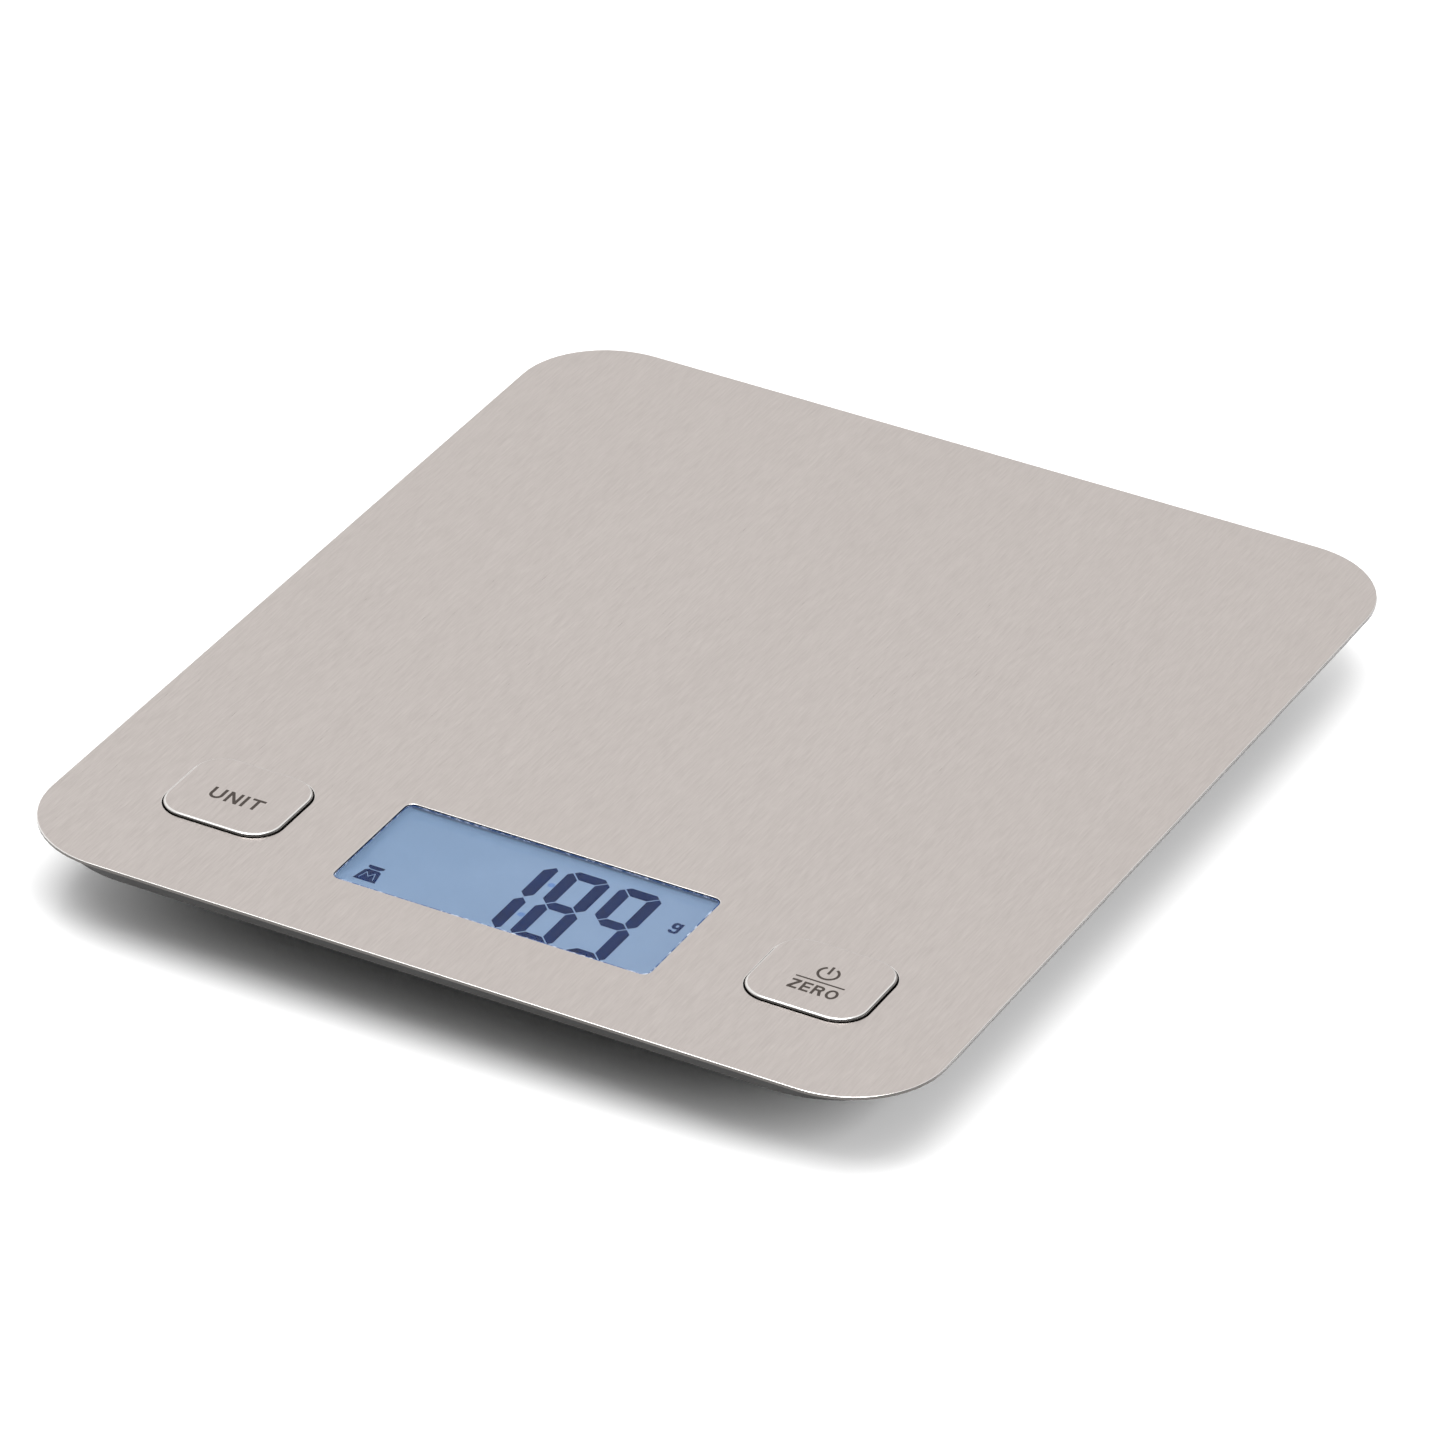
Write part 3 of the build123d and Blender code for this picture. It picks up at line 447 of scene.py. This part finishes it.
def flat_piece(name, loops, origin, thickness, material, body):
    """A thin closed mesh from flat outline loops in millimetres; inner loops are holes."""
    curve = bpy.data.curves.new(name, "CURVE")
    curve.dimensions = "2D"
    curve.fill_mode = "BOTH"
    curve.extrude = thickness / 2
    for loop in loops:
        spline = curve.splines.new("POLY")
        spline.points.add(len(loop) - 1)
        for target, (x, y) in zip(spline.points, loop):
            target.co = (x * MM, y * MM, 0.0, 1.0)
        spline.use_cyclic_u = True
    holder = bpy.data.objects.new(name, curve)
    bpy.context.scene.collection.objects.link(holder)
    bpy.context.view_layer.update()
    mesh = bpy.data.meshes.new_from_object(holder)
    bpy.data.objects.remove(holder)
    mesh.name = name
    mesh.transform(Matrix.Translation(Vector(origin) + Vector((0.0, 0.0, thickness / 2))))
    work = bmesh.new()
    work.from_mesh(mesh)
    bmesh.ops.remove_doubles(work, verts=work.verts, dist=WELD_DISTANCE)
    bmesh.ops.recalc_face_normals(work, faces=work.faces)
    work.to_mesh(mesh)
    work.free()
    mesh.materials.clear()
    mesh.materials.append(material)
    piece = bpy.data.objects.new(name, mesh)
    bpy.context.scene.collection.objects.link(piece)
    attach(piece, body)


# ---------------------------------------------------------------- letters
# Each starts at x on the baseline, w wide and h high, in lines t thick.
def letter_u(x, w, h, t):
    r = w / 2 - t / 2
    bend = arc(x + w / 2, r + t / 2, r, 180, 360, 16)
    return [stroke([(x + t / 2, h)] + bend + [(x + w - t / 2, h)], t)]


def letter_n(x, w, h, t):
    return [[
        (x, 0), (x + t, 0), (x + t, h - 1.9 * t), (x + w - 1.05 * t, 0), (x + w, 0), (x + w, h),
        (x + w - t, h), (x + w - t, 1.9 * t), (x + 1.05 * t, h), (x, h),
    ]]


def letter_i(x, w, h, t):
    return [rectangle(x, 0, x + w, h)]


def letter_t(x, w, h, t):
    middle = x + w / 2
    return [[
        (middle - t / 2, 0), (middle + t / 2, 0), (middle + t / 2, h - t), (x + w, h - t),
        (x + w, h), (x, h), (x, h - t), (middle - t / 2, h - t),
    ]]


def letter_z(x, w, h, t):
    return [[
        (x, 0), (x + w, 0), (x + w, t), (x + 1.35 * t, t), (x + w, h - t), (x + w, h), (x, h),
        (x, h - t), (x + w - 1.35 * t, h - t), (x, t),
    ]]


def letter_e(x, w, h, t):
    low, high = (h - t) / 2, (h + t) / 2
    return [[
        (x, 0), (x + w, 0), (x + w, t), (x + t, t), (x + t, low), (x + w * 0.93, low),
        (x + w * 0.93, high), (x + t, high), (x + t, h - t), (x + w, h - t), (x + w, h), (x, h),
    ]]


def letter_r(x, w, h, t):
    bowl = h * 0.28
    waist = h - 2 * bowl
    centre_x, centre_y = x + w - bowl - 0.05 * w, h - bowl
    outer = [(x, 0), (x + t, 0), (x + t, waist), (x + w * 0.50, waist)]
    outer += [(x + w - 1.1 * t, 0), (x + w, 0), (x + w * 0.50 + 1.15 * t, waist + 0.05 * h)]
    outer += arc(centre_x, centre_y, bowl, -62, 90, 12) + [(x, h)]
    inner = [(x + t, waist + t)] + arc(centre_x, centre_y, bowl - t, -90, 90, 12) + [(x + t, h - t)]
    return [outer, inner]


def letter_o(x, w, h, t):
    return [
        oval(x + w / 2, h / 2, half_width, half_height, 40)
        for half_width, half_height in ((w / 2, h / 2), (w / 2 - t, h / 2 - t))
    ]


def word(letters, height, line, spacing):
    """Loops of a word, centred on x = 0 on the baseline y = 0; letters are (outline, width)."""
    total = sum(width for _, width in letters) + spacing * (len(letters) - 1)
    x = -total / 2
    loops = []
    for outline, width in letters:
        loops += outline(x, width, height, line)
        x += width + spacing
    return loops


# ---------------------------------------------------------------- key legends
INK_FILM = 0.012 * MM
UNIT_LINE = 0.54
UNIT_PLACE = (0.3, -2.58)      # from the middle of the cap
ZERO_LINE = 0.47
ZERO_PLACE = (0.39, -0.34)
ZERO_BASELINE = -4.35
BAR_HEIGHT = -0.75
BAR_HALF_SIZE = (4.25, 0.17)
POWER_HEIGHT = 2.05
POWER_RADIUS = 1.68
POWER_LINE = 0.45
TICK_HALF_WIDTH = 0.22
TICK_LOW, TICK_HIGH = -0.2, 2.05

unit_loops = word(
    [(letter_u, 2.4), (letter_n, 2.35), (letter_i, UNIT_LINE), (letter_t, 2.35)],
    height=3.2, line=UNIT_LINE, spacing=0.58,
)
zero_word = word(
    [(letter_z, 1.66), (letter_e, 1.60), (letter_r, 1.86), (letter_o, 2.05)],
    height=2.65, line=ZERO_LINE, spacing=0.40,
)
power_symbol = [
    stroke(arc(0, 0, POWER_RADIUS, 120, 420, 40), POWER_LINE),
    rectangle(-TICK_HALF_WIDTH, TICK_LOW, TICK_HALF_WIDTH, TICK_HIGH),
]
bar_x, bar_y = BAR_HALF_SIZE
zero_loops = shifted(zero_word, 0, ZERO_BASELINE)
zero_loops += shifted([rectangle(-bar_x, -bar_y, bar_x, bar_y)], 0, BAR_HEIGHT)
zero_loops += shifted(power_symbol, 0, POWER_HEIGHT)
flat_piece(
    "unit_legend", shifted(unit_loops, *UNIT_PLACE), (unit_middle.x, unit_middle.y, unit_high.z),
    INK_FILM, key_ink, "unit_button",
)
flat_piece(
    "zero_legend", shifted(zero_loops, *ZERO_PLACE), (zero_middle.x, zero_middle.y, zero_high.z),
    INK_FILM, key_ink, "zero_button",
)

# ---------------------------------------------------------------- display
# Sizes and places are in millimetres from the frame's origin. They allow for the lens, through
# which the display looks shifted.
DIGIT_WIDTH = 7.6
DIGIT_HEIGHT = 21.8
DIGIT_PITCH = 9.27
DIGITS_LEFT, DIGITS_LOW = -6.82, -77.35
BAR = 2.2
HALF_GAP = 0.17
OUTER_CHAMFER = 1.5
BARS_ON = {"1": "bc", "8": "abcdefg", "9": "abcdfg"}
DOT_RADIUS = 0.62
DOT_PLACES = ((1.80, -61.2), (1.80, -71.1))
GRAM_PLACE = (23.78, -63.35)
WEIGHT_PLACE = (-24.4, -72.8)
WEIGHT_MARK_LINE = 0.12
SEGMENT_FILM = 0.02 * MM


def digit_bars():
    """The seven bars of a digit, from its lower left corner, keyed by their usual letters."""
    w, h, t, g, c = DIGIT_WIDTH, DIGIT_HEIGHT, BAR, HALF_GAP, OUTER_CHAMFER
    m = h / 2
    top = [
        (t + g, h - t), ((c + g) / 2, h - (c - g) / 2), (c, h), (w - c, h),
        (w - (c + g) / 2, h - (c - g) / 2), (w - t - g, h - t),
    ]
    left_upper = [
        (0, h - c), ((c - g) / 2, h - (c + g) / 2), (t, h - t - g), (t, m + t / 2 + g),
        (t / 2, m + g), (0, m + t / 2 + g),
    ]
    middle = [
        (t / 2 + g, m), (t + g, m + t / 2), (w - t - g, m + t / 2), (w - t / 2 - g, m),
        (w - t - g, m - t / 2), (t + g, m - t / 2),
    ]
    right_upper = [(w - x, y) for x, y in left_upper]
    return {
        "a": top,
        "b": right_upper,
        "c": [(x, h - y) for x, y in right_upper],
        "d": [(x, h - y) for x, y in top],
        "e": [(x, h - y) for x, y in left_upper],
        "f": left_upper,
        "g": middle,
    }


def display_piece(name, loops, lift, thickness, material):
    """A printed piece that lies lift above the front polarizer."""
    origin = (0, 0, film_high.z + lift)
    flat_piece(name, loops, origin, thickness, material, "root")


bars = digit_bars()
digit_loops = []
for place, digit in enumerate("189"):
    lit = [bars[letter] for letter in BARS_ON[digit]]
    digit_loops += shifted(lit, DIGITS_LEFT + place * DIGIT_PITCH, DIGITS_LOW)
display_piece("lcd_digits", digit_loops, 0.0, SEGMENT_FILM, segment_dye)

dot_loops = []
for dot_place in DOT_PLACES:
    dot_loops += shifted([oval(0, 0, DOT_RADIUS, DOT_RADIUS, 24)], *dot_place)
display_piece("lcd_idle_dots", dot_loops, 0.0, SEGMENT_FILM / 2, ghost_dye)

gram = [
    [(0.0, 0.32), (0.0, -0.12), (0.38, -0.50), (1.32, -0.50), (1.7, -0.12), (1.7, 2.6),
     (1.22, 2.6), (1.22, 2.38), (0.95, 2.6), (0.42, 2.6), (0.0, 2.15), (0.0, 1.2), (0.42, 0.75),
     (0.95, 0.75), (1.16, 0.92), (1.16, 0.18), (1.04, 0.06), (0.64, 0.06), (0.54, 0.18),
     (0.54, 0.32)],
    [(0.60, 1.44), (0.60, 1.92), (0.72, 2.06), (0.96, 2.06), (1.08, 1.92), (1.08, 1.44),
     (0.96, 1.30), (0.72, 1.30)],
]
display_piece("lcd_gram", shifted(gram, *GRAM_PLACE), 0.0, SEGMENT_FILM, segment_dye)

weight = [
    [(-2.0, -2.3), (2.0, -2.3), (1.45, 0.75), (0.95, 1.1), (-0.95, 1.1), (-1.45, 0.75)],
    [(-0.75, 1.3), (0.75, 1.3), (1.4, 1.75), (1.4, 2.3), (-1.4, 2.3), (-1.4, 1.75)],
]
zigzag = [(-1.25, -1.7), (-0.75, 0.2), (0.0, -0.9), (0.75, 0.2), (1.25, -1.7)]
display_piece("lcd_weight", shifted(weight, *WEIGHT_PLACE), 0.0, SEGMENT_FILM, segment_dye)
display_piece(
    "lcd_weight_mark", shifted([stroke(zigzag, WEIGHT_MARK_LINE)], *WEIGHT_PLACE), SEGMENT_FILM,
    SEGMENT_FILM / 2, materials["polarizer_film"],
)

# ---------------------------------------------------------------- smooth shading of the CAD meshes
SHARP_ANGLE = math.radians(32)
for cad_object in nodes.values():
    cad_object.data.shade_smooth()
    cad_object.data.set_sharp_from_angle(angle=SHARP_ANGLE)

# ---------------------------------------------------------------- floor
FLOOR_RADIUS = 6.0
floor_mesh = bpy.data.meshes.new("floor")
floor_form = bmesh.new()
bmesh.ops.create_circle(floor_form, cap_ends=True, segments=96, radius=FLOOR_RADIUS)
floor_form.to_mesh(floor_mesh)
floor_form.free()
floor = bpy.data.objects.new("floor", floor_mesh)
bpy.context.scene.collection.objects.link(floor)
paper = Shader("floor_paper").set(Specular_IOR_Level=0.1)
paper_tone = paper.noise((8.0, 8.0, 8.0))
paper.colour(paper.mix(paper_tone, grey(0.90), grey(0.92)))
paper.rough(paper.span(paper_tone, 0.85, 0.95))
floor_mesh.materials.append(paper.material)

# ---------------------------------------------------------------- light
BRIGHT_SIDE = (-0.40, 0.25, 0.88)        # where the surround is white
BRIGHT_SIDE_FADE = (0.30, 0.62)          # cosines to that side between which it darkens
DARK_SIDE_LEVEL = 0.11
DOWNWARD = (0.0, 0.0, -1.0)
HORIZON_FADE = (-0.11, -0.05)            # the pale strip fades in from just above the horizon
HORIZON_LEVEL = 0.66
LAMP_DISTANCE = 1.8


def studio_world():
    """White surround, dark low down in front and on the right, with a pale strip at the horizon."""
    world = bpy.data.worlds.new("studio")
    world.use_nodes = True
    tree = world.node_tree
    light = tree.nodes["Background"]
    toward = tree.nodes.new("ShaderNodeTexCoord").outputs["Generated"]

    def rise(direction, fade, dark):
        """Brightness that rises from dark to 1 as the ray turns toward the direction."""
        cosine = tree.nodes.new("ShaderNodeVectorMath")
        cosine.operation = "DOT_PRODUCT"
        cosine.inputs[1].default_value = direction
        tree.links.new(toward, cosine.inputs[0])
        made = tree.nodes.new("ShaderNodeMapRange")
        made.interpolation_type = "SMOOTHSTEP"
        made.inputs["From Min"].default_value, made.inputs["From Max"].default_value = fade
        made.inputs["To Min"].default_value = dark
        made.inputs["To Max"].default_value = 1.0
        tree.links.new(cosine.outputs["Value"], made.inputs["Value"])
        return made.outputs["Result"]

    light.inputs["Color"].default_value = (1.0, 1.0, 1.0, 1.0)
    strip = tree.nodes.new("ShaderNodeMath")
    strip.operation = "MULTIPLY"
    strip.inputs[1].default_value = HORIZON_LEVEL
    tree.links.new(rise(DOWNWARD, HORIZON_FADE, 0.0), strip.inputs[0])
    brightest = tree.nodes.new("ShaderNodeMath")
    brightest.operation = "MAXIMUM"
    tree.links.new(rise(BRIGHT_SIDE, BRIGHT_SIDE_FADE, DARK_SIDE_LEVEL), brightest.inputs[0])
    tree.links.new(strip.outputs["Value"], brightest.inputs[1])
    tree.links.new(brightest.outputs["Value"], light.inputs["Strength"])
    bpy.context.scene.world = world


def direction(azimuth, elevation):
    """Unit vector from the scale, in degrees; azimuth 0 is behind it, 90 to its right."""
    a, e = math.radians(azimuth), math.radians(elevation)
    return Vector((math.sin(a) * math.cos(e), math.cos(a) * math.cos(e), math.sin(e)))


def soft_box(name, azimuth, elevation, size, power, reflected):
    """Square area light aimed at the scale."""
    lamp = bpy.data.lights.new(name, "AREA")
    lamp.shape = "SQUARE"
    lamp.size = size
    lamp.energy = power
    holder = bpy.data.objects.new(name, lamp)
    bpy.context.scene.collection.objects.link(holder)
    holder.location = direction(azimuth, elevation) * LAMP_DISTANCE
    holder.rotation_euler = holder.location.to_track_quat("Z", "Y").to_euler()
    holder.visible_glossy = reflected


studio_world()
soft_box("overhead", azimuth=165, elevation=78, size=1.4, power=26.0, reflected=True)
soft_box("right_fill", azimuth=100, elevation=30, size=1.1, power=30.0, reflected=False)
soft_box("edge_glint", azimuth=215, elevation=64, size=0.8, power=3.5, reflected=True)

# ---------------------------------------------------------------- camera
CAMERA_TARGET = Vector((3.32 * MM, -6.23 * MM, plate_high.z))
CAMERA_AZIMUTH = 26.66       # degrees to the right of straight in front
CAMERA_ELEVATION = 31.5
CAMERA_ROLL = 2.16
CAMERA_DISTANCE = 1.5403
CAMERA_LENS = 236.7
camera_data = bpy.data.cameras.new("camera")
camera_data.lens = CAMERA_LENS
camera_data.sensor_width = 36.0
camera_data.clip_end = 50.0
camera = bpy.data.objects.new("camera", camera_data)
bpy.context.scene.collection.objects.link(camera)
back = direction(180.0 - CAMERA_AZIMUTH, CAMERA_ELEVATION)
camera.location = CAMERA_TARGET + back * CAMERA_DISTANCE
turn = back.to_track_quat("Z", "Y").to_matrix()
roll = Matrix.Rotation(math.radians(CAMERA_ROLL), 3, "Z")
camera.rotation_euler = (turn @ roll).to_euler()
bpy.context.scene.camera = camera
bpy.context.scene.view_settings.view_transform = "Standard"
